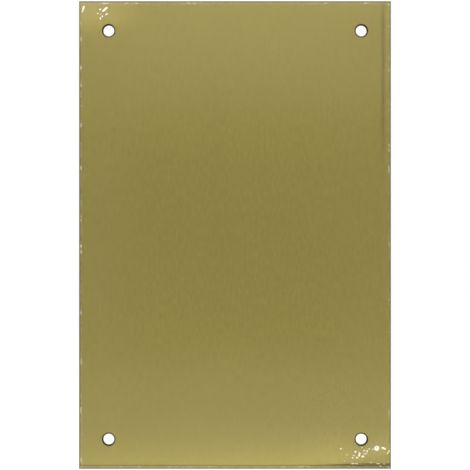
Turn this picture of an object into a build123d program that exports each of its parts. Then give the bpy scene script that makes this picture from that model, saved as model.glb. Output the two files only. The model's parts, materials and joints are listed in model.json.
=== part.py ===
from build123d import *

import os
from collections import namedtuple
from math import sqrt

# Blank door plate, standing upright as it is fixed on a door. X runs across
# the plate, Z runs up it, and its brushed face looks towards -Y. The origin
# is the middle of the back face, which lies against the door. Sizes in mm.

# Brass plate, sheared from sheet
plate_width = 100.0
plate_height = 150.0
plate_thickness = 1.0
edge_roll = 0.25  # rounding that the shear leaves along the front edges
back_break = 0.12  # chamfer where the burr of the back edges was filed off

# Fixing holes, punched from the front, one near each corner
hole_diameter = 3.5
hole_inset = 9.5  # from each edge of the plate to a hole's centre
rim_roll = 0.4  # rounding that punching and deburring leave round the front of a hole
rim_flare = 0.1  # chamfer where the slug broke out at the back of a hole

# Clear protective film, stuck to the brushed face
film_thickness = 0.08
film_setback = 0.05  # bare brass between the film and a rolled edge or rim
lip_width = 0.6  # strip along the film's cut edge that has come unstuck
bottom_lip_width = 1.1  # the same strip along the bottom edge, which lifted more
lip_rise = 0.12  # height of the cut edge above the brass

# Air blisters under the film. Each is placed from its own corner of the plate:
# inward from the side, and inward from the top or bottom. Its turn is the
# direction of its length, counterclockwise from level as seen from the front.
blister_arch = 0.18  # rise of a blister for each unit of its width
Blister = namedtuple("Blister", "inward_x inward_z length width turn")
top_left_blisters = [
    Blister(1.5, 2.6, 2.3, 0.9, 80),
    Blister(8.3, 2.6, 2.2, 0.9, 39),
    Blister(6.0, 4.0, 0.7, 0.6, 0),
    Blister(8.8, 4.2, 1.2, 0.6, 30),
    Blister(6.8, 5.6, 0.8, 0.6, 80),
]
bottom_right_blisters = [
    Blister(16.1, 6.5, 0.8, 0.7, 0),
    Blister(11.4, 5.5, 0.8, 0.7, 0),
    Blister(10.9, 3.6, 1.0, 0.6, 0),
    Blister(10.1, 4.6, 1.3, 0.6, 80),
    Blister(9.0, 4.0, 1.0, 0.7, 10),
    Blister(7.6, 5.7, 0.9, 0.6, 90),
    Blister(4.7, 6.6, 1.8, 1.7, 60),
    Blister(2.5, 6.6, 1.7, 0.7, 155),
    Blister(1.5, 5.3, 1.3, 0.7, 60),
]

# Long tunnel of lifted film beside the right edge, from near its top
tunnel_inset = 2.2  # from the plate's edge to the tunnel's centre line
tunnel_top = 2.5  # from the plate's top to the tunnel's upper end
tunnel_length = 58.0
tunnel_width = 2.4
tunnel_rise = 0.16

back_plane = Plane.XZ
front_plane = back_plane.offset(plate_thickness)
film_plane = front_plane.offset(film_thickness)
hole_spacing_x = plate_width - 2 * hole_inset
hole_spacing_z = plate_height - 2 * hole_inset
film_margin = edge_roll + film_setback


def film_outline(inset, bottom_inset):
    """Draw the film's outline, pulled in from the plate's own outline."""
    low = bottom_inset - plate_height / 2
    high = plate_height / 2 - inset
    with Locations((0, (low + high) / 2)):
        Rectangle(plate_width - 2 * inset, high - low)


def dome(centre, turn, length, width, rise, skin):
    """Make the air pocket under a blister or, with a skin, the film over it.

    The section is an arc across the width. It is drawn out along the length,
    and turned into a round cap at each end.
    """
    base = front_plane.offset(skin)
    floor = Plane(base.location * Location((*centre, 0), (0, 0, turn)))
    run = length - width
    arch_radius = (width**2 / 4 + rise**2) / (2 * rise) + skin
    half_width = sqrt(2 * arch_radius * rise - rise**2)
    ends = [
        Plane(floor.from_local_coords((place, 0)), floor.y_dir, floor.x_dir)
        for place in (-run / 2, run / 2)
    ]
    with BuildPart() as lifted:
        with BuildSketch(ends[0]):
            with BuildLine():
                ThreePointArc((-half_width, 0), (0, rise), (half_width, 0))
                Line((half_width, 0), (-half_width, 0))
            make_face()
        extrude(amount=run)
        for end in ends:
            with BuildSketch(end):
                with BuildLine():
                    TangentArc((0, rise), (half_width, 0), tangent=(1, 0))
                    Polyline((half_width, 0), (0, 0), (0, rise))
                make_face()
            revolve(axis=Axis(end.origin, floor.z_dir))
    return lifted.part


def lifted_places(skin):
    """Make the pockets of every blister and of the tunnel, or the film there."""
    domes = []
    for side, blisters in ((-1, top_left_blisters), (1, bottom_right_blisters)):
        for spot in blisters:
            centre = (
                side * (plate_width / 2 - spot.inward_x),
                side * (spot.inward_z - plate_height / 2),
            )
            rise = blister_arch * spot.width
            domes.append(dome(centre, spot.turn, spot.length, spot.width, rise, skin))
    tunnel_centre = (
        plate_width / 2 - tunnel_inset,
        plate_height / 2 - tunnel_top - tunnel_length / 2,
    )
    domes.append(dome(tunnel_centre, 90, tunnel_length, tunnel_width, tunnel_rise, skin))
    return domes


# Plate: sheared outline and punched holes, rolled in front and broken at the back
with BuildPart() as plate:
    with BuildSketch(back_plane):
        Rectangle(plate_width, plate_height)
        with GridLocations(hole_spacing_x, hole_spacing_z, 2, 2):
            Circle(hole_diameter / 2, mode=Mode.SUBTRACT)
    extrude(amount=plate_thickness)
    front_face = plate.faces().sort_by(Axis.Y)[0]
    back_face = plate.faces().sort_by(Axis.Y)[-1]
    front_outline = front_face.outer_wire().edges()
    front_rims = front_face.edges().filter_by(GeomType.CIRCLE)
    back_outline = back_face.outer_wire().edges()
    back_rims = back_face.edges().filter_by(GeomType.CIRCLE)
    fillet(front_outline, edge_roll)
    fillet(front_rims, rim_roll)
    chamfer(back_outline, back_break)
    chamfer(back_rims, rim_flare)
plate.part.label = "plate"

# Film: a shallow tray, flat where it sticks and rising along its cut edges
film_over_air = lifted_places(film_thickness)
air_pockets = lifted_places(0)
with BuildPart() as protective_film:
    with BuildSketch(front_plane):
        film_outline(film_margin + lip_width, film_margin + bottom_lip_width)
    with BuildSketch(front_plane.offset(lip_rise)):
        film_outline(film_margin, film_margin)
    loft()
    extrude(protective_film.faces().sort_by(Axis.Y)[0], amount=film_thickness)
    with BuildSketch(film_plane):
        film_outline(film_margin + lip_width, film_margin + bottom_lip_width)
    with BuildSketch(film_plane.offset(lip_rise)):
        film_outline(film_margin, film_margin)
    loft(mode=Mode.SUBTRACT)
    add(film_over_air)
    add(air_pockets, mode=Mode.SUBTRACT)
    # The film was punched with the brass, back to where each rim starts to roll
    with BuildSketch(front_plane):
        with GridLocations(hole_spacing_x, hole_spacing_z, 2, 2):
            Circle(hole_diameter / 2 + rim_roll + film_setback)
    extrude(amount=film_thickness, mode=Mode.SUBTRACT)
protective_film.part.label = "protective_film"

os.makedirs("parts", exist_ok=True)
export_step(plate.part, "parts/plate.step")
export_step(protective_film.part, "parts/protective_film.step")
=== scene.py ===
import json
from collections import namedtuple
from math import cos, pi, radians, sin, sqrt, tau

import bpy
import numpy as np
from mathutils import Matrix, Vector, noise
from mathutils.geometry import delaunay_2d_cdt


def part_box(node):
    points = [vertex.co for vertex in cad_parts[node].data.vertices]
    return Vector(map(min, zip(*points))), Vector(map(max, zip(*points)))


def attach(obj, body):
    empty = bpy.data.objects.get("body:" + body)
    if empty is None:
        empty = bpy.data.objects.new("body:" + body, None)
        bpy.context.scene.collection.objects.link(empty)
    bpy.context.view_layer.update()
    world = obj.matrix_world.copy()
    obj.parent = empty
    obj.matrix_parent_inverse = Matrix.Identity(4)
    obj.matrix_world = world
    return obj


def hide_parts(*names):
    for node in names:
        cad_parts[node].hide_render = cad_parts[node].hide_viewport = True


# Blank door plate of brushed brass under its clear film. X runs across the
# plate, Z up it, and the brushed face looks towards -Y. The film and its marks
# are laid out in millimetres on the face, and turned into metres at the end.

MM = 0.001

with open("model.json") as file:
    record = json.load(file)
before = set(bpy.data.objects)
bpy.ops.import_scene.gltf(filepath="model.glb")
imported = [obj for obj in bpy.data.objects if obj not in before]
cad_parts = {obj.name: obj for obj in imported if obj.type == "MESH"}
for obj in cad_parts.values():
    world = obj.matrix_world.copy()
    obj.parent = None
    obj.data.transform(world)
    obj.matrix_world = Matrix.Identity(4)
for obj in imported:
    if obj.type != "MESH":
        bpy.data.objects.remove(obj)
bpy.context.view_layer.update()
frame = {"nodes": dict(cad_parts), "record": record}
plate_low, plate_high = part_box("plate")
film_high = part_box("protective_film")[1]
half_width = plate_high.x / MM
half_height = plate_high.z / MM
front_y = plate_low.y
thickness = (plate_high.y - plate_low.y) / MM
bores = [mount for mount in frame["record"]["mounts"] if mount["kind"] == "bore"]
hole_centres = [(mount["pos_m"][0] / MM, mount["pos_m"][2] / MM) for mount in bores]
hole_x, hole_z = (abs(value) for value in hole_centres[0])
hole_radius = bores[0]["dims"]["r_mm"]
rim_roll = 0.4  # rounding round the front of a hole
rim_radius = hole_radius + rim_roll

# Clear film
film_half_width = film_high.x / MM
film_half_height = film_high.z / MM
film_thickness = 0.08
film_setback = 0.05  # bare brass between the film and a hole's rim
film_hole_radius = rim_radius + film_setback
film_gap = 0.01  # adhesive between the film and the brass

# Strips of the film that have come unstuck, along its cut edge and round each hole
lip_width = 0.6
bottom_lip_width = 1.1
lip_rise = 0.12
lip_curl = 1.5  # power by which it steepens towards the cut edge
lip_mean, lip_swing = 0.75, 0.5  # share of its rise, and how far that swings
lip_least, lip_most = 0.2, 1.2
hole_lip_width = 0.35
hole_lip_rise = 0.03
# Cloudy film with painted highlights round each hole's rim
hole_lip_white = 0.05
side_crease = 0.33  # from the cut edge to the crease along it
end_crease = 0.48

# Breaks in the lifted edge, which show as white dashes along its crease, cloudy film
# with painted highlights: how far along the side from the left or from the top, and how long
edge_breaks = {
    "top": [
        (8.6, 2.0), (15.2, 1.4), (18.5, 0.6), (35.1, 0.6), (37.1, 1.2), (79.0, 1.0), (91.9, 1.4),
    ],
    "bottom": [
        (7.8, 0.6), (13.4, 0.6), (19.1, 0.6), (29.0, 0.5), (31.1, 0.7), (35.5, 0.8), (42.0, 1.0),
        (56.9, 0.6), (65.5, 0.9), (71.3, 1.0), (73.6, 0.6),
    ],
    "left": [
        (7.1, 0.6), (12.2, 1.2), (21.4, 1.4), (27.0, 1.0), (39.8, 1.6), (53.5, 1.6), (69.1, 0.6),
        (70.2, 0.6), (78.6, 1.2), (80.4, 1.4), (99.9, 1.4), (115.8, 1.8), (131.1, 1.8),
        (146.9, 1.5),
    ],
    "right": [
        (1.1, 1.0), (8.0, 0.8), (18.5, 0.8), (22.1, 0.6), (34.9, 0.8), (46.0, 0.8), (47.8, 1.2),
        (53.9, 2.2), (77.9, 1.0), (95.8, 0.8), (106.1, 0.6), (131.8, 1.8),
    ],
}
break_white = 0.52
break_core, break_end = 0.35, 0.6  # in lengths from its middle: white up to, gone from
break_blur = 0.17  # how far its white spreads from the crease

# Blisters in the film. Each is placed inward from its own corner of the plate,
# across and up or down. Its turn is the direction of its length,
# counterclockwise from level as seen from the front. White is how cloudy it is, with its
# painted glint, and hollow is how much of that is missing a little above its middle.
Blister = namedtuple("Blister", "inward_x inward_z length width turn white hollow")
top_left_blisters = [
    Blister(1.45, 2.2, 1.5, 0.8, 75, 1.0, 0),
    Blister(1.15, 3.25, 1.1, 0.7, 70, 0.65, 0),
    Blister(8.3, 2.7, 2.25, 0.92, 41, 1.0, 0),
    Blister(6.75, 2.7, 0.85, 0.7, 10, 1.0, 0),
    Blister(6.05, 4.0, 0.65, 0.6, 0, 1.0, 0),
    Blister(7.0, 4.15, 0.7, 0.45, 60, 0.6, 0),
    Blister(8.85, 4.2, 1.2, 0.52, 30, 0.85, 0),
    Blister(7.5, 4.9, 0.75, 0.65, 70, 1.0, 0),
    Blister(6.9, 5.6, 0.85, 0.6, 80, 1.0, 0),
]
bottom_right_blisters = [
    Blister(16.1, 6.5, 0.72, 0.55, 0, 0.85, 0),
    Blister(14.2, 4.5, 0.7, 0.6, 0, 0.6, 0),
    Blister(14.9, 2.6, 0.65, 0.55, 0, 0.6, 0),
    Blister(12.35, 3.6, 0.62, 0.5, 0, 0.85, 0),
    Blister(12.0, 4.3, 0.9, 0.5, 160, 0.6, 0),
    Blister(11.35, 5.5, 0.88, 0.74, 40, 0.85, 0),
    Blister(10.85, 3.6, 1.02, 0.62, 0, 0.72, 0),
    Blister(10.15, 4.6, 1.5, 0.76, 80, 0.8, 0.15),
    Blister(9.05, 4.0, 1.05, 0.7, 10, 0.95, 0),
    Blister(8.6, 5.9, 0.9, 0.6, 30, 0.68, 0),
    Blister(8.2, 4.9, 1.5, 0.6, 10, 0.5, 0),
    Blister(7.65, 5.7, 0.95, 0.66, 90, 0.7, 0),
    Blister(7.0, 6.4, 0.6, 0.45, 0, 0.75, 0),
    Blister(9.3, 6.95, 0.55, 0.45, 0, 0.75, 0),
    Blister(6.4, 2.0, 0.75, 0.6, 0, 0.6, 0),
    Blister(4.55, 6.6, 1.9, 1.75, 60, 0.88, 0.65),
    Blister(5.75, 6.35, 0.9, 0.5, 10, 0.5, 0),
    Blister(2.35, 6.6, 1.6, 0.7, 155, 1.0, 0),
    Blister(0.62, 5.75, 0.9, 0.45, 80, 0.95, 0),
    Blister(1.1, 5.05, 0.8, 0.5, 35, 0.85, 0),
    Blister(12.25, 1.7, 1.0, 0.45, 0, 0.85, 0),
    Blister(11.1, 1.7, 1.3, 0.45, 0, 0.65, 0),
    Blister(4.1, 1.7, 1.2, 0.45, 0, 0.8, 0),
    Blister(2.2, 1.6, 0.6, 0.45, 0, 0.65, 0),
    Blister(3.4, 0.9, 0.55, 0.5, 0, 0.7, 0),
]
blister_arch = 0.18  # rise of a blister for each unit of its width
crumple_rise = 0.5  # share of the rise that the crumpling adds or takes
crumple_outline = 0.15  # how far it moves the outline of the white in and out
white_core, white_end = 0.65, 1.05  # white up to, gone from, where 1 is the outline
hollow_rise = 0.25  # from a blister's middle up to the middle of its hollow
hollow_core, hollow_end = 0.1, 0.55  # in half widths: clear up to, white again from
painted_shade_ring, painted_shade_ring_blur = 1.25, 0.25  # where painted shade lies round it, where 1 is the outline
painted_shade_ring_dark = 0.35

# Long tunnel of lifted film beside the right edge, from near its top
tunnel_inset = 2.2
tunnel_top = 2.5
tunnel_length = 58.0
tunnel_width = 2.4
tunnel_rise = 0.16
tunnel_shadow_inset = 2.5  # middle of the band of painted shade along its inner side
tunnel_shadow_width = 1.6
tunnel_shadow_reach = 1.9  # how much further up than the tunnel the band goes
tunnel_shadow_core, tunnel_shadow_end = 0.1, 1.2  # dark up to, gone from, where 1 is its outline
tunnel_shadow_dark = 0.215
tunnel_shadow_mean, tunnel_shadow_swing = 0.8, 0.4

# Unevenness of the lip, the blisters and the tunnel's shadow: humps for each
# mm, and a seed
lip_ripple = (0.45, 3.0)
crumple_ripple = (1.6, 5.0)
tunnel_ripple = (0.12, 21.0)

# Points of the film's mesh: steps and rows in mm, then how near another point
# may lie to one of each kind
film_step = 0.4  # along the cut edge
lip_rows = (0.1, 0.2, 0.33, 0.46, 0.6, 0.8, 1.0, 1.3, 1.8)  # in from the cut edge
hole_rows = (0.12, 0.24, 0.38, 0.7)  # out from a hole's edge
hole_steps = 72
hole_clearance = 0.05  # from a hole's edge to the nearest points round it
blister_step = 0.08
blister_surround = 1.6  # how far out its fine points go, where 1 is its outline
cluster_step = 0.25
cluster_reach = {-1: (10.5, 7.5), 1: (17.5, 8.6)}  # inward, at the top left and bottom right
tunnel_steps = (0.25, 0.4)
tunnel_inner_reach, tunnel_outer_reach = 1.6, 1.4  # from its centre line
open_step = 2.5
open_margin = 2
row_pitch = sqrt(3) / 2  # between a triangular grid's rows, for a step of 1
outline_spacing = 0.02
blister_spacing = 0.06
row_spacing = 0.09
cluster_spacing = 0.2
open_spacing = 1.4
point_spacings = (outline_spacing, blister_spacing, row_spacing, cluster_spacing, open_spacing)
weld_distance = 1e-5

# Colours
BRASS = (0.333, 0.291, 0.078)
WARM_BRASS = (0.355, 0.282, 0.079)
SHEARED_BRASS = (0.08, 0.073, 0.04)
# Near black of each bore and its rounded rim: painted shade
BORE_PAINTED_SHADE = (0.026, 0.022, 0.007)
MILL_BRASS = (0.36, 0.30, 0.10)
# White of the cloudy film, and of its painted glints, highlights and light
CLOUD_AND_GLINT_WHITE = (0.88, 0.79, 0.54)
# Dark olive of the film's painted shade
FILM_PAINTED_SHADE = (0.035, 0.028, 0.004)
# Floor colours near the plate, painted shade, and far behind it, painted light
NEAR_FLOOR = (0.89, 0.89, 0.89)
FAR_FLOOR = (0.985, 0.985, 0.985)
ROOM_WHITE = (1.02, 1.02, 1.02)

# Grain of each finish: humps for each mm across, through and up, how fine and
# how rough its detail is, and how far it swings the brightness
Grain = namedtuple("Grain", "scales detail roughness swing", defaults=(2.0, 0.5, 0))
hairline_grain = Grain((5.0, 1.0, 0.25), swing=0.12)
streak_grain = Grain((1.1, 1.0, 0.4), swing=0.28)
clouding_grain = Grain((0.05, 1.0, 0.02), swing=0.05)
tint_grain = Grain((0.35, 1.0, 0.22), detail=1.0)
shear_grain = Grain((6.0, 0.6, 6.0), detail=3.0, roughness=0.7, swing=0.5)
mill_grain = Grain((1.6, 1.0, 0.08), detail=4.0, roughness=0.6, swing=0.12)
smudge_grain = Grain((0.06, 1.0, 0.05), detail=3.0, roughness=0.6, swing=0.25)
wave_grain = Grain((0.5, 0.5, 0.3))
speck_grain = Grain((1.2, 1.2, 1.2), detail=1.0)
dust_grain = Grain((2.2, 2.2, 2.2), detail=1.0)
paper_grain = Grain((0.02, 0.02, 0.02), detail=3.0, swing=0.01)

# Relief of each finish: strength, and depth in metres
brushed_relief = (0.12, 0.000006)
sheared_relief = (0.3, 0.00001)
film_relief = (0.25, 0.00002)

# Gloss of each finish
brushed_roughness, streak_roughness = 0.31, 0.03
brushed_anisotropy = 0.95
sheared_roughness, back_polish, smudge_roughness = 0.5, 0.12, 0.15
bore_roughness, bore_specular = 0.9, 0.1
film_roughness, cloud_roughness = 0.06, 0.3
film_index = 1.5  # refractive index of the plastic
face_on_gloss = 0.04  # its gloss seen square on, which the brass's own colour allows for
floor_roughness = 0.9

# Where one finish of the brass gives way to another, from and to, in mm
face_end = (0.01, 0.1)  # behind the brushed face
torn_start = (-0.62, -0.5)  # y, where a sheared edge's burnished half ends
back_start = (-0.06, -0.01)  # y
rim_end = (rim_radius - 0.02, rim_radius + 0.08)  # where the painted shade of a bore and its rim ends, out from a hole's centre
burnished_level, torn_loss = 1.15, 0.35  # brightness of a sheared edge's two halves

# Small marks on the brass: across and up from the middle, radius, darkness
BrassMark = namedtuple("BrassMark", "x z radius dark")
brass_marks = [
    BrassMark(-15.3, 44.1, 0.35, 0.3),
    BrassMark(15.2, -18.8, 0.3, 0.35),
    BrassMark(1.1, -73.6, 0.3, 0.4),
]
mark_core = 0.4  # share of a mark's radius that is fully dark

# Ovals of painted light where the brass is brighter, or painted shade where it is
# duller, with the level below 0, and of haze and painted glow on the film: middle, reach each way,
# level
Patch = namedtuple("Patch", "x z reach_x reach_z level")
painted_brass_light_and_shade = [
    Patch(-46.5, 70.5, 20, 7.5, 0.26),
    Patch(33, -69, 20, 9, 0.08),
    Patch(47.5, -66.5, 5, 4.5, 0.06),
    Patch(0, -78, 120, 13, 0.085),
    Patch(0, -61, 150, 16, -0.065),
    Patch(43, -71.5, 9, 4, -0.04),
    Patch(42, 62, 22, 16, -0.035),
    Patch(-46, 57, 26, 16, -0.035),
    Patch(-44, -66, 12, 8, -0.025),
    Patch(0, 58, 150, 25, -0.012),
]
film_haze_and_painted_glow = [
    Patch(-48, 73, 18, 6, 0.045),
    Patch(45.2, -68.4, 3.6, 2.8, 0.16),
    Patch(40.2, -70.4, 4.5, 2.3, 0.08),
    Patch(25.8, -65.9, 0.6, 0.6, 0.16),
    Patch(30.0, -72.0, 0.6, 0.6, 0.13),
    Patch(29.7, -68.1, 0.6, 0.6, 0.1),
]
patch_fade = (0.1, 1.0)  # from its middle at 0 to its outline at 1

# Levels that slope to nothing between two places: the level, then those places
Slope = namedtuple("Slope", "level low high")
edge_painted_shade = Slope(0.5, 0.15, 0.42)  # painted shade, in from the plate's own edge
end_lip_haze_and_highlight = Slope(0.09, 0.4, 1.1)  # haze and painted highlight, in from the film's cut edge
side_lip_haze_and_highlight = Slope(0.02, 0.3, 0.8)
crease_painted_highlight = Slope(0.23, 0.05, 0.22)  # painted highlights off the crease, where there are specks
speck_levels = (0.48, 0.68)  # of the noise
end_painted_light = Slope(0.04, 28, 62)  # painted light, up or down from the middle
left_painted_light = Slope(0.02, -48, -22)  # painted light, across from the middle, at mid height
right_painted_light = Slope(0.01, 22, 46)
mid_height = (15, 55)
dust_haze = Slope(0.06, 0.62, 0.78)  # levels of the noise
dust_height = (-72, -60)
cut_edge_painted_shade = Slope(0.5, 0.05, 0.25)  # painted shade, in from the film's cut edge
low_painted_shade = Slope(0.05, 1.3, 3.2)  # painted shade, up from the film's lower edge, at its right
low_painted_shade_start = (18, 40)  # across from the middle

# Painted shade of a fold along the film's lower edge, which gets higher, wider and darker
# between two places across: its measures left and right of them
fold_turn = (24, 42)
fold_heights = (0.82, 1.02)
fold_half_widths = (0.3, 0.75)
fold_darks = (0.29, 0.38)
fold_fade = (0.3, 1.0)  # from its middle at 0 to its outline at 1
fold_lip_darks = (0.08, 0.22)  # painted shade of the strip below it
fold_lip_reach = (0.3, 0.8)

# Camera, as far from the plate as the photograph's view through the holes shows
camera_distance = 0.42
sensor_width = 36.0
view_width = 0.1507  # width of the picture at the plate
nearest_seen, furthest_seen = 0.01, 30

# Floor, in metres, and the places behind the plate in mm where its painted shade near the plate
# turns paler, to painted light
floor_drop = 0.08  # height of the plate's bottom edge above the floor
floor_radius = 6.0
floor_sides = 64
floor_turn = (50, 400)

# Light of the room's front by height, from 0 level with the camera to 1
# straight up or down, and the directions between which its back takes over
room_stops = [
    (0.0, 0.84), (0.07, 0.86), (0.1, 1.0), (0.14, 1.15), (0.2, 1.35), (0.3, 1.55),
    (0.5, 1.15), (0.75, 0.85), (1.0, 0.85),
]
room_turn = (-0.15, 0.1)

# Square soft lamps: place, what they face, side, power, spread in degrees
Lamp = namedtuple("Lamp", "name place target side power spread")
lamps = [
    Lamp("key_lamp", (-0.45, -0.6, 0.75), (0, 0, 0), 0.2, 1.8, 180),
    Lamp("fill_lamp", (0.7, -0.5, 0.45), (0, 0, 0), 0.3, 1.2, 180),
    Lamp("floor_lamp", (0.05, -0.36, 0.27), (0.05, -0.36, -0.15), 0.2, 0.32, 60),
]


def smooth_step(low, high, value):
    """0 up to low, 1 from high on, and an even slope between them."""
    share = np.clip((value - low) / (high - low), 0, 1)
    return share * share * (3 - 2 * share)


def ripple(points, scale, seed):
    """Even noise from -1 to 1 over the face, its humps about 1 / scale mm wide."""
    return np.array([noise.noise(Vector((x * scale, z * scale, seed))) for x, z in points])


def bell(value, middle, blur):
    """1 where a value is at the middle, fading out on both sides of it."""
    return np.exp(-(((value - middle) / blur) ** 2))


def distance_to(points, centre):
    """How far each point on the face is from another."""
    return np.hypot(*(points - np.array(centre)).T)


def capsule_distance(points, centre, turn, length, width):
    """0 along a capsule's middle line and 1 at its outline."""
    along = np.array([cos(turn), sin(turn)])
    across = np.array([-along[1], along[0]])
    offset = points - np.array(centre)
    past_end = np.maximum(np.abs(offset @ along) - (length - width) / 2, 0)
    return np.hypot(past_end, offset @ across) / (width / 2)


def blisters_from(points):
    """Every blister, its centre, and the points' distances from it, with 1 at its outline."""
    for side, blisters in ((-1, top_left_blisters), (1, bottom_right_blisters)):
        for spot in blisters:
            centre = (side * (half_width - spot.inward_x), side * (spot.inward_z - half_height))
            turn = radians(spot.turn)
            yield spot, centre, capsule_distance(points, centre, turn, spot.length, spot.width)


class FilmForm:
    """How far the film stands off the brass at each point, how cloudy it is there with its painted
    glints, and how much painted shade it has.
    """

    def __init__(self, points):
        self.points = points
        self.lift = np.zeros(len(points))
        self.cloud = np.zeros(len(points))
        self.grime = np.zeros(len(points))
        self.add_lifted_edge()
        self.add_hole_rims()
        self.add_blisters()
        self.add_tunnel()

    def edge_distances(self):
        """For each side, the distances from it and along it, and its lip's width and crease."""
        x, z = self.points.T
        return {
            "left": (film_half_width + x, half_height - z, lip_width, side_crease),
            "right": (film_half_width - x, half_height - z, lip_width, side_crease),
            "top": (film_half_height - z, half_width + x, lip_width, end_crease),
            "bottom": (film_half_height + z, half_width + x, bottom_lip_width, end_crease),
        }

    def add_lifted_edge(self):
        """Raise the cut edge unevenly, and cloud it where it is broken, with painted highlights
        there.
        """
        uneven = lip_mean + lip_swing * ripple(self.points, *lip_ripple)
        height = lip_rise * np.clip(uneven, lip_least, lip_most)
        for side, (inward, along, width, crease) in self.edge_distances().items():
            rise = height * np.clip(1 - inward / width, 0, 1) ** lip_curl
            self.lift = np.maximum(self.lift, rise)
            line = bell(inward, crease, break_blur)
            for middle, length in edge_breaks[side]:
                off_middle = np.abs(along - middle)
                near = 1 - smooth_step(break_core * length, break_end * length, off_middle)
                self.cloud = np.maximum(self.cloud, break_white * near * line)

    def add_hole_rims(self):
        """Raise the film a little round each hole, where the punch pulled it."""
        for centre in hole_centres:
            out = distance_to(self.points, centre) - film_hole_radius
            rim = np.clip(1 - out / hole_lip_width, 0, 1)
            self.lift = np.maximum(self.lift, hole_lip_rise * rim**lip_curl)
            # A faint cloud with painted highlights round the rim
            self.cloud = np.maximum(self.cloud, hole_lip_white * rim)

    def add_blisters(self):
        """Raise each blister as a crumpled dome, cloudy inside with a painted glint, and with a
        ring of painted shade round it.
        """
        crumple = ripple(self.points, *crumple_ripple)
        for spot, centre, out in blisters_from(self.points):
            dome = np.clip(1 - out**2, 0, 1)
            rise = blister_arch * spot.width * dome * (1 + crumple_rise * crumple)
            self.lift = np.maximum(self.lift, rise)
            uneven_out = out + crumple_outline * crumple
            cloud = spot.white * (1 - smooth_step(white_core, white_end, uneven_out))
            hollow_middle = (centre[0], centre[1] + hollow_rise)
            off_hollow = distance_to(self.points, hollow_middle) / (spot.width / 2)
            missing = spot.hollow * (1 - smooth_step(hollow_core, hollow_end, off_hollow))
            self.cloud = np.maximum(self.cloud, cloud * (1 - missing))
            ring = bell(out, painted_shade_ring, painted_shade_ring_blur) * np.clip(0.5 + crumple, 0, 1)
            self.grime = np.maximum(self.grime, painted_shade_ring_dark * spot.white**3 * ring)

    def add_tunnel(self):
        """Raise the tunnel beside the right edge, with a band of painted shade along its inner
        side.
        """
        middle_z = half_height - tunnel_top - tunnel_length / 2
        centre = (half_width - tunnel_inset, middle_z)
        out = capsule_distance(self.points, centre, pi / 2, tunnel_length, tunnel_width)
        self.lift = np.maximum(self.lift, tunnel_rise * np.clip(1 - out**2, 0, 1))
        centre = (half_width - tunnel_shadow_inset, middle_z + tunnel_shadow_reach / 2)
        shadow_length = tunnel_length + tunnel_shadow_reach
        out = capsule_distance(self.points, centre, pi / 2, shadow_length, tunnel_shadow_width)
        uneven = tunnel_shadow_mean + tunnel_shadow_swing * ripple(self.points, *tunnel_ripple)
        band = (1 - smooth_step(tunnel_shadow_core, tunnel_shadow_end, out)) * uneven
        band = band * smooth_step(middle_z - tunnel_length / 2, middle_z, self.points[:, 1])
        self.grime = np.maximum(self.grime, tunnel_shadow_dark * band)


class FilmPoints:
    """The points that the film's mesh is drawn through, none too near another."""

    def __init__(self):
        self.places = []
        self.cells = {}

    def add(self, x, z, spacing):
        """Take a point unless one lies nearer than the spacing. Returns its number or None."""
        cell = (int(x // spacing), int(z // spacing))
        reach = range(-1, 2)
        for near in ((cell[0] + i, cell[1] + j, spacing) for i in reach for j in reach):
            for number in self.cells.get(near, ()):
                other = self.places[number]
                if (other[0] - x) ** 2 + (other[1] - z) ** 2 < spacing**2:
                    return None
        self.places.append((x, z))
        number = len(self.places) - 1
        for size in point_spacings:
            key = (int(x // size), int(z // size), size)
            self.cells.setdefault(key, []).append(number)
        return number

    def add_all(self, places, spacing):
        """Take each point that is outside the holes and not too near another."""
        for x, z in places:
            if outside_holes(x, z):
                self.add(x, z, spacing)


def rectangle_loop(inset):
    """Points along a rectangle drawn in from the film's cut edge."""
    right, high = film_half_width - inset, film_half_height - inset
    corners = [(-right, -high), (right, -high), (right, high), (-right, high)]
    loop = []
    for (start_x, start_z), (end_x, end_z) in zip(corners, corners[1:] + corners[:1]):
        run_x, run_z = end_x - start_x, end_z - start_z
        steps = round(max(abs(run_x), abs(run_z)) / film_step)
        for step in range(steps):
            share = step / steps
            loop.append((start_x + share * run_x, start_z + share * run_z))
    return loop


def circle_loop(centre, radius):
    """Points round a circle on the face."""
    turns = (tau * step / hole_steps for step in range(hole_steps))
    return [(centre[0] + radius * cos(turn), centre[1] + radius * sin(turn)) for turn in turns]


def grid_of(low_x, high_x, low_z, high_z, step_x, step_z):
    """Points of a grid whose odd rows are moved half a step over."""
    for row, z in enumerate(np.arange(low_z, high_z, step_z)):
        for x in np.arange(low_x + (row % 2) * step_x / 2, high_x, step_x):
            yield float(x), float(z)


def outside_holes(x, z):
    """True where the film isn't cut away."""
    radius = film_hole_radius + hole_clearance
    return all((x - a) ** 2 + (z - b) ** 2 > radius**2 for a, b in hole_centres)


def near_blister(points):
    """True for the points that lie on a blister or close round it."""
    near = np.zeros(len(points), bool)
    for _, _, out in blisters_from(points):
        near |= out < blister_surround
    return near


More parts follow.
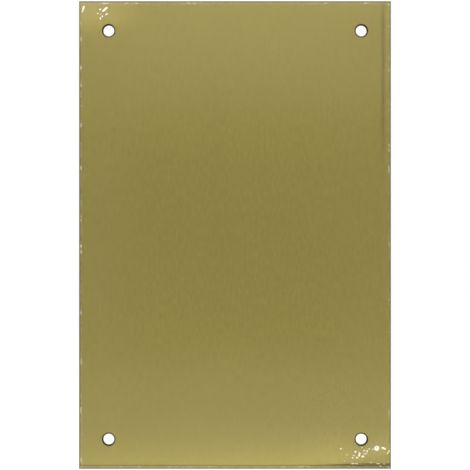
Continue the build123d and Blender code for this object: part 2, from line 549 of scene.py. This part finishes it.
def film_points():
    """Every point of the film's mesh, and the edges of its outline and holes."""
    points, edges = FilmPoints(), []
    loops = [rectangle_loop(0)] + [circle_loop(centre, film_hole_radius) for centre in hole_centres]
    for loop in loops:
        numbers = [points.add(x, z, outline_spacing) for x, z in loop]
        edges += list(zip(numbers, numbers[1:] + numbers[:1]))
    for side, (reach_x, reach_z) in cluster_reach.items():
        low_x, high_x = sorted((side * film_half_width, side * (half_width - reach_x)))
        low_z, high_z = sorted((-side * film_half_height, -side * (half_height - reach_z)))
        area = (low_x, high_x, low_z, high_z)
        fine = np.array(list(grid_of(*area, blister_step, blister_step * row_pitch)))
        points.add_all(fine[near_blister(fine)].tolist(), blister_spacing)
        points.add_all(grid_of(*area, cluster_step, cluster_step * row_pitch), cluster_spacing)
    for centre in hole_centres:
        for row in hole_rows:
            points.add_all(circle_loop(centre, film_hole_radius + row), row_spacing)
    for row in lip_rows:
        points.add_all(rectangle_loop(row), row_spacing)
    middle_x = half_width - tunnel_inset
    low_x, high_x = middle_x - tunnel_inner_reach, middle_x + tunnel_outer_reach
    high_z = half_height - tunnel_top
    area = (low_x, high_x, high_z - tunnel_length, high_z)
    points.add_all(grid_of(*area, *tunnel_steps), cluster_spacing)
    right, high = half_width - open_margin, half_height - open_margin
    points.add_all(grid_of(-right, right, -high, high, open_step, open_step), open_spacing)
    return points.places, edges


def film_faces():
    """The film laid flat: its points on the face, and the triangles between them."""
    places, edges = film_points()
    places = [Vector(place) for place in places]
    inside_outline = 2  # which triangles to keep
    found = delaunay_2d_cdt(places, edges, [], inside_outline, weld_distance)
    flat = np.array([(place.x, place.y) for place in found[0]])
    faces = np.array(found[2])
    middles = flat[faces].mean(axis=1)
    for centre in hole_centres:
        outside = distance_to(middles, centre) >= film_hole_radius
        faces, middles = faces[outside], middles[outside]
    return flat, faces


def film_mesh():
    """The film as a thin closed sheet, lifted where it has come off the brass."""
    flat, faces = film_faces()
    form = FilmForm(flat)
    count = len(flat)
    inner_y = front_y - (film_gap + form.lift) * MM
    outer_y = inner_y - film_thickness * MM
    layers = [np.column_stack((flat[:, 0] * MM, y, flat[:, 1] * MM)) for y in (outer_y, inner_y)]
    sides = np.concatenate([faces[:, [0, 1]], faces[:, [1, 2]], faces[:, [2, 0]]]).tolist()
    opposite = {(b, a) for a, b in sides}
    rim = np.array([(a, b) for a, b in sides if (a, b) not in opposite])
    walls = np.column_stack((rim[:, 1], rim[:, 0], rim[:, 0] + count, rim[:, 1] + count))
    mesh = bpy.data.meshes.new("protective_film")
    mesh.from_pydata(
        np.concatenate(layers).tolist(),
        [],
        faces.tolist() + (faces[:, ::-1] + count).tolist() + walls.tolist(),
    )
    mesh.update()
    mesh.shade_smooth()
    skin = np.repeat([1.0, 0.0], count)  # 1 on the outer side, whose gloss and haze show
    # The film's cloud with its painted glints, and its painted shade
    painted = {"cloud": form.cloud, "grime": form.grime, "skin": np.ones(count)}
    for name, values in painted.items():
        attribute = mesh.attributes.new(name, "FLOAT", "POINT")
        attribute.data.foreach_set("value", (np.tile(values, 2) * skin).astype(np.float32))
    return mesh


class Value:
    """A number that varies over a surface. Python's operators on it add Math nodes."""

    def __init__(self, finish, socket):
        self.finish, self.socket = finish, socket

    def math(self, operation, *others):
        inputs = dict(enumerate((self, *others)))
        return self.finish.add("ShaderNodeMath", {"operation": operation}, inputs)

    def __add__(self, other):
        return self.math("ADD", other)

    def __mul__(self, other):
        return self.math("MULTIPLY", other)

    def __sub__(self, other):
        return self.math("SUBTRACT", other)

    def __rsub__(self, other):
        return self * -1 + other

    def __truediv__(self, other):
        return self.math("DIVIDE", other)

    def __pow__(self, other):
        return self.math("POWER", other)

    __radd__ = __add__
    __rmul__ = __mul__

    def at_most(self, other):
        return self.math("MINIMUM", other)

    def at_least(self, other):
        return self.math("MAXIMUM", other)

    def size(self):
        return self.math("ABSOLUTE")

    def swing(self, amount):
        """Noise from 0 to 1 turned into an amount that adds nothing on the whole."""
        return amount * (self - 0.5)

    def rise(self, low, high):
        """0 up to low, 1 from high on, with an even slope between them."""
        settings = {"interpolation_type": "SMOOTHSTEP"}
        inputs = {"Value": self, "From Min": low, "From Max": high}
        return self.finish.add("ShaderNodeMapRange", settings, inputs)

    def fall(self, low, high):
        """1 up to low, 0 from high on, with an even slope between them."""
        return 1 - self.rise(low, high)

    def rise_of(self, slope):
        """A slope's level from its high end on, and nothing up to its low end."""
        return slope.level * self.rise(slope.low, slope.high)

    def fall_of(self, slope):
        """A slope's level up to its low end, and nothing from its high end on."""
        return slope.level * self.fall(slope.low, slope.high)

    def between(self, pair):
        """The first of a pair where this is 0, and the second where it is 1."""
        return pair[0] + (pair[1] - pair[0]) * self


class Finish:
    """A node tree being filled in, with one way to add a node to it."""

    def __init__(self, tree):
        self.tree = tree
        tree.nodes.clear()

    def add(self, kind, settings=None, inputs=None, output=0):
        """Add a node: its settings first, then its sockets' values or links. Returns one output."""
        node = self.tree.nodes.new(kind)
        for name, setting in (settings or {}).items():
            if name == "stops":
                self.set_stops(node.color_ramp, setting)
            else:
                setattr(node, name, setting)
        for name, given in (inputs or {}).items():
            socket = node.inputs[name]
            if isinstance(given, Value):
                self.tree.links.new(given.socket, socket)
            elif isinstance(given, tuple):
                socket.default_value = (*given, 1)[: len(socket.default_value)]
            else:
                socket.default_value = given
        return Value(self, node.outputs[output]) if node.outputs else node

    @staticmethod
    def set_stops(ramp, stops):
        for place, level in stops[2:]:
            ramp.elements.new(place)
        for element, (place, level) in zip(ramp.elements, stops):
            element.position = place
            element.color = (level, level, level, 1)

    def parts(self, at):
        """A point's or a direction's x, y and z."""
        return [self.add("ShaderNodeSeparateXYZ", None, {0: at}, output) for output in range(3)]

    def place(self):
        """The point on the piece in millimetres, and its x, y and z."""
        at = self.add("ShaderNodeTexCoord", output=3)
        at = self.scaled(at, 1 / MM)
        return at, *self.parts(at)

    def noise(self, at, grain):
        """Noise from 0 to 1 with the grain of a finish."""
        at = self.add("ShaderNodeVectorMath", {"operation": "MULTIPLY"}, {0: at, 1: grain.scales})
        inputs = {"Vector": at, "Scale": 1.0, "Detail": grain.detail, "Roughness": grain.roughness}
        return self.add("ShaderNodeTexNoise", None, inputs)

    def painted(self, name):
        """A number painted on the points of the mesh."""
        return self.add("ShaderNodeAttribute", {"attribute_name": name}, None, 2)

    def relief(self, height, strength, depth):
        """Normals of a surface whose height varies."""
        inputs = {"Strength": strength, "Distance": depth, "Height": height}
        return self.add("ShaderNodeBump", None, inputs)

    def mix(self, share, first, second):
        """A colour from first, at share 0, to second, at share 1."""
        inputs = {0: share, 6: first, 7: second}
        return self.add("ShaderNodeMix", {"data_type": "RGBA"}, inputs, 2)

    def scaled(self, given, level):
        """A colour or a point times a level, which may vary."""
        return self.add("ShaderNodeVectorMath", {"operation": "SCALE"}, {0: given, "Scale": level})

    def opaque(self, inputs):
        """An opaque surface, metal or not, from its sockets' values."""
        return self.add("ShaderNodeBsdfPrincipled", None, inputs)

    def mixed(self, share, first, second):
        """A surface from first, at share 0, to second, at share 1."""
        return self.add("ShaderNodeMixShader", None, {0: share, 1: first, 2: second})

    def surface(self, shader):
        self.add("ShaderNodeOutputMaterial", None, {"Surface": shader})


def new_material(name):
    """An empty material and the finish that fills it."""
    material = bpy.data.materials.new(name)
    material.use_nodes = True
    return material, Finish(material.node_tree)


def patch(x, z, oval):
    """1 in the middle of an oval on the face, fading to 0 at its outline."""
    out = (((x - oval.x) / oval.reach_x) ** 2 + ((z - oval.z) / oval.reach_z) ** 2) ** 0.5
    return out.fall(*patch_fade)


def brushed_face(finish, at, x, z):
    """The face: brushed up and down, with painted shade along its edge, patches of painted light
    and shade, and its marks.
    """
    hairlines = finish.noise(at, hairline_grain)
    streaks = finish.noise(at, streak_grain)
    clouding = finish.noise(at, clouding_grain)
    tint = finish.noise(at, tint_grain)
    level = 1 + hairlines.swing(hairline_grain.swing) + streaks.swing(streak_grain.swing)
    level = level + clouding.swing(clouding_grain.swing)
    to_edge = (half_width - x.size()).at_most(half_height - z.size())
    # Painted shade along the plate's rolled edge
    level = level * (1 - to_edge.fall_of(edge_painted_shade))
    # Patches of painted light and painted shade
    for painted_patch in painted_brass_light_and_shade:
        level = level * (1 + painted_patch.level * patch(x, z, painted_patch))
    for mark in brass_marks:
        offset = ((x - mark.x) ** 2 + (z - mark.z) ** 2) ** 0.5
        level = level * (1 - mark.dark * offset.fall(mark_core * mark.radius, mark.radius))
    return finish.opaque({
        "Base Color": finish.scaled(finish.mix(tint, BRASS, WARM_BRASS), level),
        "Metallic": 1.0,
        "Roughness": brushed_roughness + streaks.swing(streak_roughness),
        "Anisotropic": brushed_anisotropy,
        "Normal": finish.relief(hairlines, *brushed_relief),
    })


def brushed_brass():
    """Brass brushed on its face, sheared at its edges and holes, near black with painted shade in
    its holes and on their rims, and as rolled on its back.
    """
    material, finish = new_material("brushed_brass")
    at, x, y, z = finish.place()
    shear_lines = finish.noise(at, shear_grain)
    mill_lines = finish.noise(at, mill_grain)
    smudges = finish.noise(at, smudge_grain)
    on_back = y.rise(*back_start)
    torn = y.rise(*torn_start)
    hole_distance = ((x.size() - hole_x) ** 2 + (z.size() - hole_z) ** 2) ** 0.5
    in_hole = hole_distance.fall(*rim_end)
    edge_level = burnished_level - torn_loss * torn + shear_lines.swing(shear_grain.swing)
    back_level = 1 + mill_lines.swing(mill_grain.swing) + smudges.swing(smudge_grain.swing)
    edge_colour = finish.scaled(SHEARED_BRASS, edge_level)
    back_colour = finish.scaled(MILL_BRASS, back_level)
    lines = finish.relief(shear_lines * (1 - on_back), *sheared_relief)
    roughness = sheared_roughness - on_back * back_polish + smudges.swing(smudge_roughness)
    rest = finish.opaque({
        "Base Color": finish.mix(on_back, edge_colour, back_colour),
        "Metallic": 1.0,
        "Roughness": roughness,
        "Normal": lines,
    })
    # Each bore and its rim, near black and dull: painted shade
    bore = finish.opaque({
        "Base Color": finish.scaled(BORE_PAINTED_SHADE, edge_level),
        "Roughness": bore_roughness,
        "Specular IOR Level": bore_specular,
        "Normal": lines,
    })
    off_face = (y + thickness).rise(*face_end)
    plain = finish.mixed(off_face, brushed_face(finish, at, x, z), rest)
    finish.surface(finish.mixed(in_hole * (1 - on_back), plain, bore))
    return material


def lower_fold(x, from_low_edge):
    """The fold along the film's lower edge, and the painted shade on it and on the strip below it.
    """
    rightward = x.rise(*fold_turn)
    off_fold = (from_low_edge - rightward.between(fold_heights)).size()
    fold = (off_fold / rightward.between(fold_half_widths)).fall(*fold_fade)
    strip = rightward.between(fold_lip_darks) * from_low_edge.fall(*fold_lip_reach)
    return fold, fold * rightward.between(fold_darks) + strip


def film_haze_and_painted_light(finish, at, x, z, fold):
    """The film's haze and painted highlight along its lip, painted highlights at its crease,
    painted light towards its ends and sides, dust haze, and haze and painted glow in patches.
    """
    from_side = film_half_width - x.size()
    from_end = film_half_height - z.size()
    off_crease = (from_side - side_crease).size().at_most((from_end - end_crease).size())
    specks = finish.noise(at, speck_grain).rise(*speck_levels)
    lip = from_end.fall_of(end_lip_haze_and_highlight) + from_side.fall_of(side_lip_haze_and_highlight)
    ends = z.size().rise_of(end_painted_light)
    sides = z.size().fall(*mid_height) * (x.fall_of(left_painted_light) + x.rise_of(right_painted_light))
    dust = finish.noise(at, dust_grain).rise_of(dust_haze) * z.fall(*dust_height)
    haze_and_light = (lip + ends) * (1 - fold) + off_crease.fall_of(crease_painted_highlight) * specks + sides + dust
    for oval in film_haze_and_painted_glow:
        haze_and_light = haze_and_light + oval.level * patch(x, z, oval)
    return haze_and_light


def clear_film():
    """Clear glossy film, cloudy with painted glints where it has come off the brass, and darkened
    by painted shade along its fold, edges and tunnel and round its blisters.
    """
    material, finish = new_material("clear_film")
    cloud, grime, skin = (finish.painted(name) for name in ("cloud", "grime", "skin"))
    at, x, _, z = finish.place()
    wavy = finish.relief(finish.noise(at, wave_grain), *film_relief)
    gloss = finish.add("ShaderNodeFresnel", None, {"IOR": film_index, "Normal": wavy})
    gloss = skin * (gloss - face_on_gloss).at_least(0)
    from_low_edge = z + film_half_height
    fold, dark = lower_fold(x, from_low_edge)
    inward = (film_half_width - x.size()).at_most(film_half_height - z.size())
    low_corner = x.rise(*low_painted_shade_start) * from_low_edge.fall_of(low_painted_shade)
    # Haze with painted light, highlights and glow
    cloud = cloud + skin * film_haze_and_painted_light(finish, at, x, z, fold)
    # Painted shade of the fold, the lower right corner and the cut edge
    grime = grime + skin * (dark + low_corner + inward.fall_of(cut_edge_painted_shade))
    cloud_glint_and_shade = cloud + grime
    nearly_none = 0.001  # keeps a share of nothing from being divided by 0
    sheet = finish.opaque({
        "Base Color": finish.mix(grime / (cloud_glint_and_shade + nearly_none), CLOUD_AND_GLINT_WHITE, FILM_PAINTED_SHADE),
        "Metallic": gloss / (gloss + cloud_glint_and_shade + nearly_none),
        "Roughness": film_roughness + cloud_roughness * cloud,
        "Normal": wavy,
    })
    cover = (gloss + cloud_glint_and_shade).at_most(1.0)
    finish.surface(finish.mixed(cover, finish.add("ShaderNodeBsdfTransparent"), sheet))
    return material


def pale_floor():
    """Matt white studio floor, with painted shade near the plate and paler, as painted light,
    further behind it.
    """
    material, finish = new_material("studio_floor")
    at, _, y, _ = finish.place()
    paper = finish.noise(at, paper_grain)
    colour = finish.mix(y.rise(*floor_turn), NEAR_FLOOR, FAR_FLOOR)
    colour = finish.scaled(colour, 1 + paper.swing(paper_grain.swing))
    finish.surface(finish.opaque({"Base Color": colour, "Roughness": floor_roughness}))
    return material


def put_in_scene(name, data):
    """Add a mesh, lamp or camera to the scene as an object."""
    placed = bpy.data.objects.new(name, data)
    bpy.context.scene.collection.objects.link(placed)
    return placed


def make_film():
    """Put the film on the plate in place of its plain solid."""
    film = put_in_scene("film_sheet", film_mesh())
    film.data.materials.append(clear_film())
    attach(film, "root")
    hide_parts("protective_film")


def dress_plate():
    """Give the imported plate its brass."""
    plate = frame["nodes"]["plate"]
    plate.data.materials.clear()
    plate.data.materials.append(brushed_brass())


def make_floor():
    """Lay a wide round floor below the plate, which hangs over it as if held up to be seen."""
    level = plate_low.z - floor_drop
    turns = (tau * side / floor_sides for side in range(floor_sides))
    rim = [(floor_radius * cos(turn), floor_radius * sin(turn), level) for turn in turns]
    mesh = bpy.data.meshes.new("studio_floor")
    mesh.from_pydata(rim, [], [list(range(floor_sides))])
    mesh.materials.append(pale_floor())
    put_in_scene("studio_floor", mesh)


def light_room():
    """A white room. Its front, which the plate mirrors, is duller level with the camera."""
    world = bpy.data.worlds.new("studio")
    world.use_nodes = True
    bpy.context.scene.world = world
    finish = Finish(world.node_tree)
    _, depth, height = finish.parts(finish.add("ShaderNodeTexCoord"))
    front = finish.add("ShaderNodeValToRGB", {"stops": room_stops}, {0: height.size()})
    colour = finish.mix(depth.rise(*room_turn), front, ROOM_WHITE)
    shade = finish.add("ShaderNodeBackground", None, {"Color": colour, "Strength": 1.0})
    finish.add("ShaderNodeOutputWorld", None, {"Surface": shade})


def add_lamp(lamp):
    """Hang one of the lamps, turned to what it faces."""
    light = bpy.data.lights.new(lamp.name, "AREA")
    light.shape = "SQUARE"
    light.size = lamp.side
    light.energy = lamp.power
    light.spread = radians(lamp.spread)
    holder = put_in_scene(lamp.name, light)
    holder.location = lamp.place
    facing = Vector(lamp.target) - Vector(lamp.place)
    holder.rotation_euler = facing.to_track_quat("-Z", "Y").to_euler()


def add_camera():
    """A camera square in front of the plate."""
    camera = bpy.data.cameras.new("camera")
    camera.sensor_width = sensor_width
    camera.lens = sensor_width * camera_distance / view_width
    camera.clip_start, camera.clip_end = nearest_seen, furthest_seen
    holder = put_in_scene("camera", camera)
    holder.location = (0, front_y - camera_distance, 0)
    holder.rotation_euler = (pi / 2, 0, 0)
    bpy.context.scene.camera = holder


dress_plate()
make_film()
make_floor()
light_room()
for lamp in lamps:
    add_lamp(lamp)
add_camera()
bpy.context.scene.view_settings.view_transform = "Standard"
